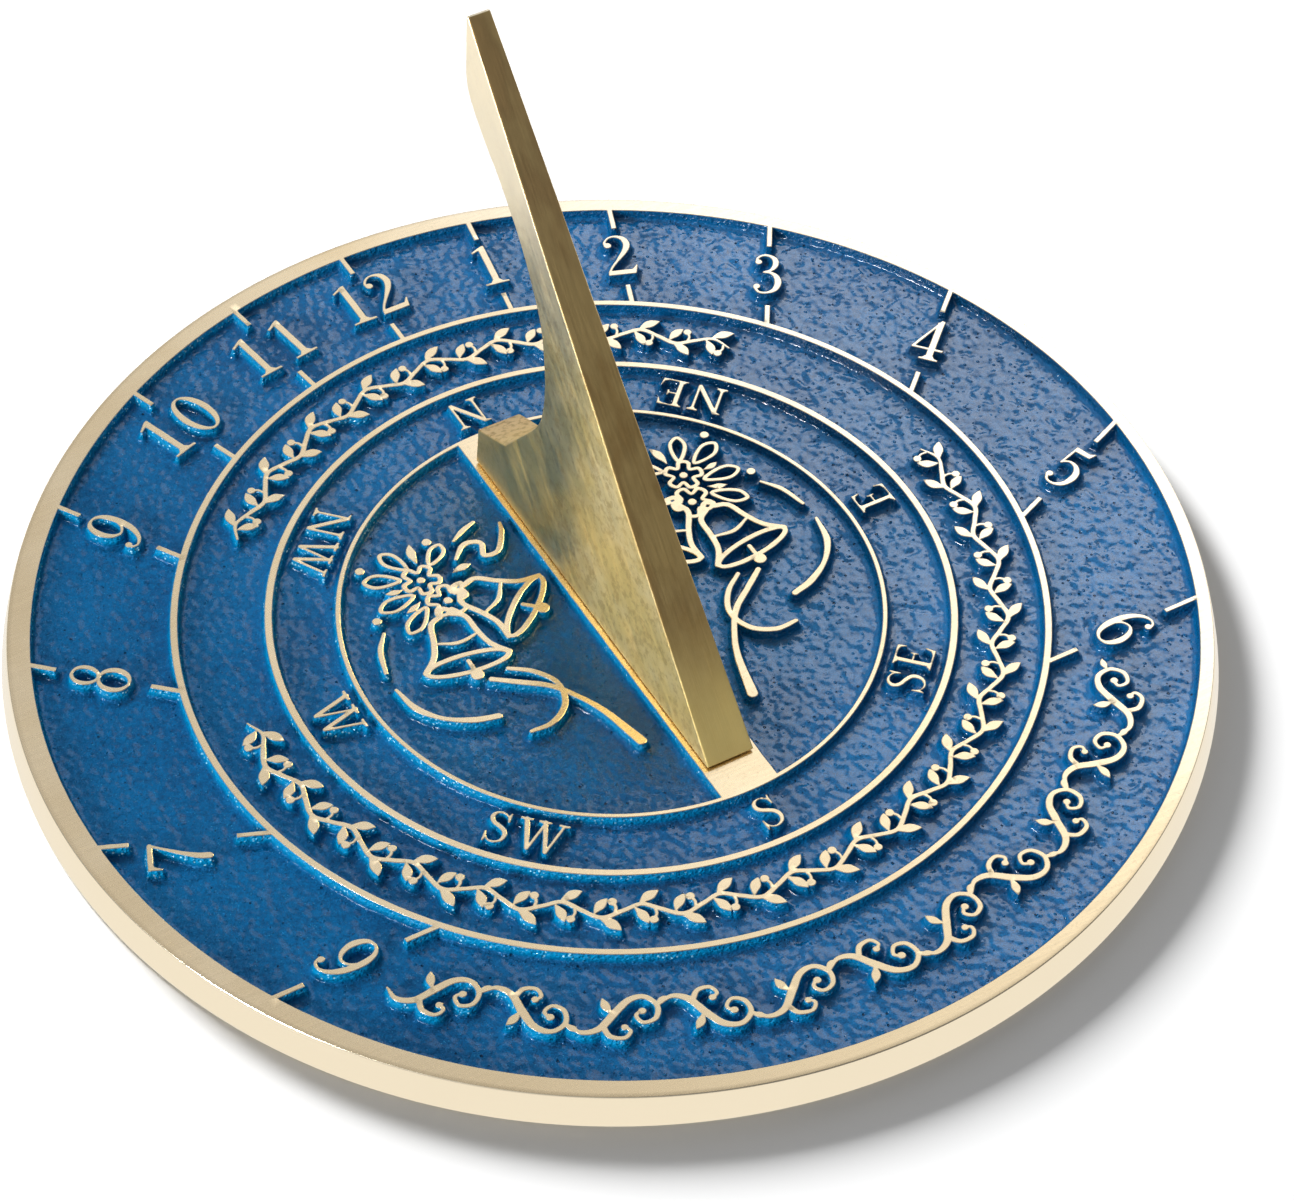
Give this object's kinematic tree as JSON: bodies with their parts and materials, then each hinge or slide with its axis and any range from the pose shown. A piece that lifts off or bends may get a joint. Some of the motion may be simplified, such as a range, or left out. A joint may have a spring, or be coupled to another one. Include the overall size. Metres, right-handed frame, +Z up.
{
  "type": "garden sundial",
  "caption": "Horizontal garden sundial: round cast-brass dial plate with blue enamelled recesses, raised hour numerals and compass letters, and a fixed tapered gnomon.",
  "frame": {"origin": "centre of the dial plate's flat underside", "axes": "+Z up, +Y along the noon line towards north, +X towards east, the afternoon hours"},
  "size_m": [0.215, 0.215, 0.1068],
  "materials": {
    "cast_brass": "cast, with rim and relief tops polished bright",
    "blue_enamel": "glossy stoved enamel over a sand-cast floor, finely granular",
    "gnomon_brass": "linished sides with a slightly tarnished satin finish",
    "screw_brass": "turned and slotted, satin"
  },
  "bodies": {
    "root": {"dial_plate": "cast_brass", "enamel_hour_band": "blue_enamel", "enamel_ornament_band": "blue_enamel", "enamel_compass_band": "blue_enamel", "enamel_west_half": "blue_enamel", "enamel_east_half": "blue_enamel", "gnomon": "gnomon_brass", "gnomon_screw_south": "screw_brass", "gnomon_screw_north": "screw_brass"}
  },
  "joints": []
}
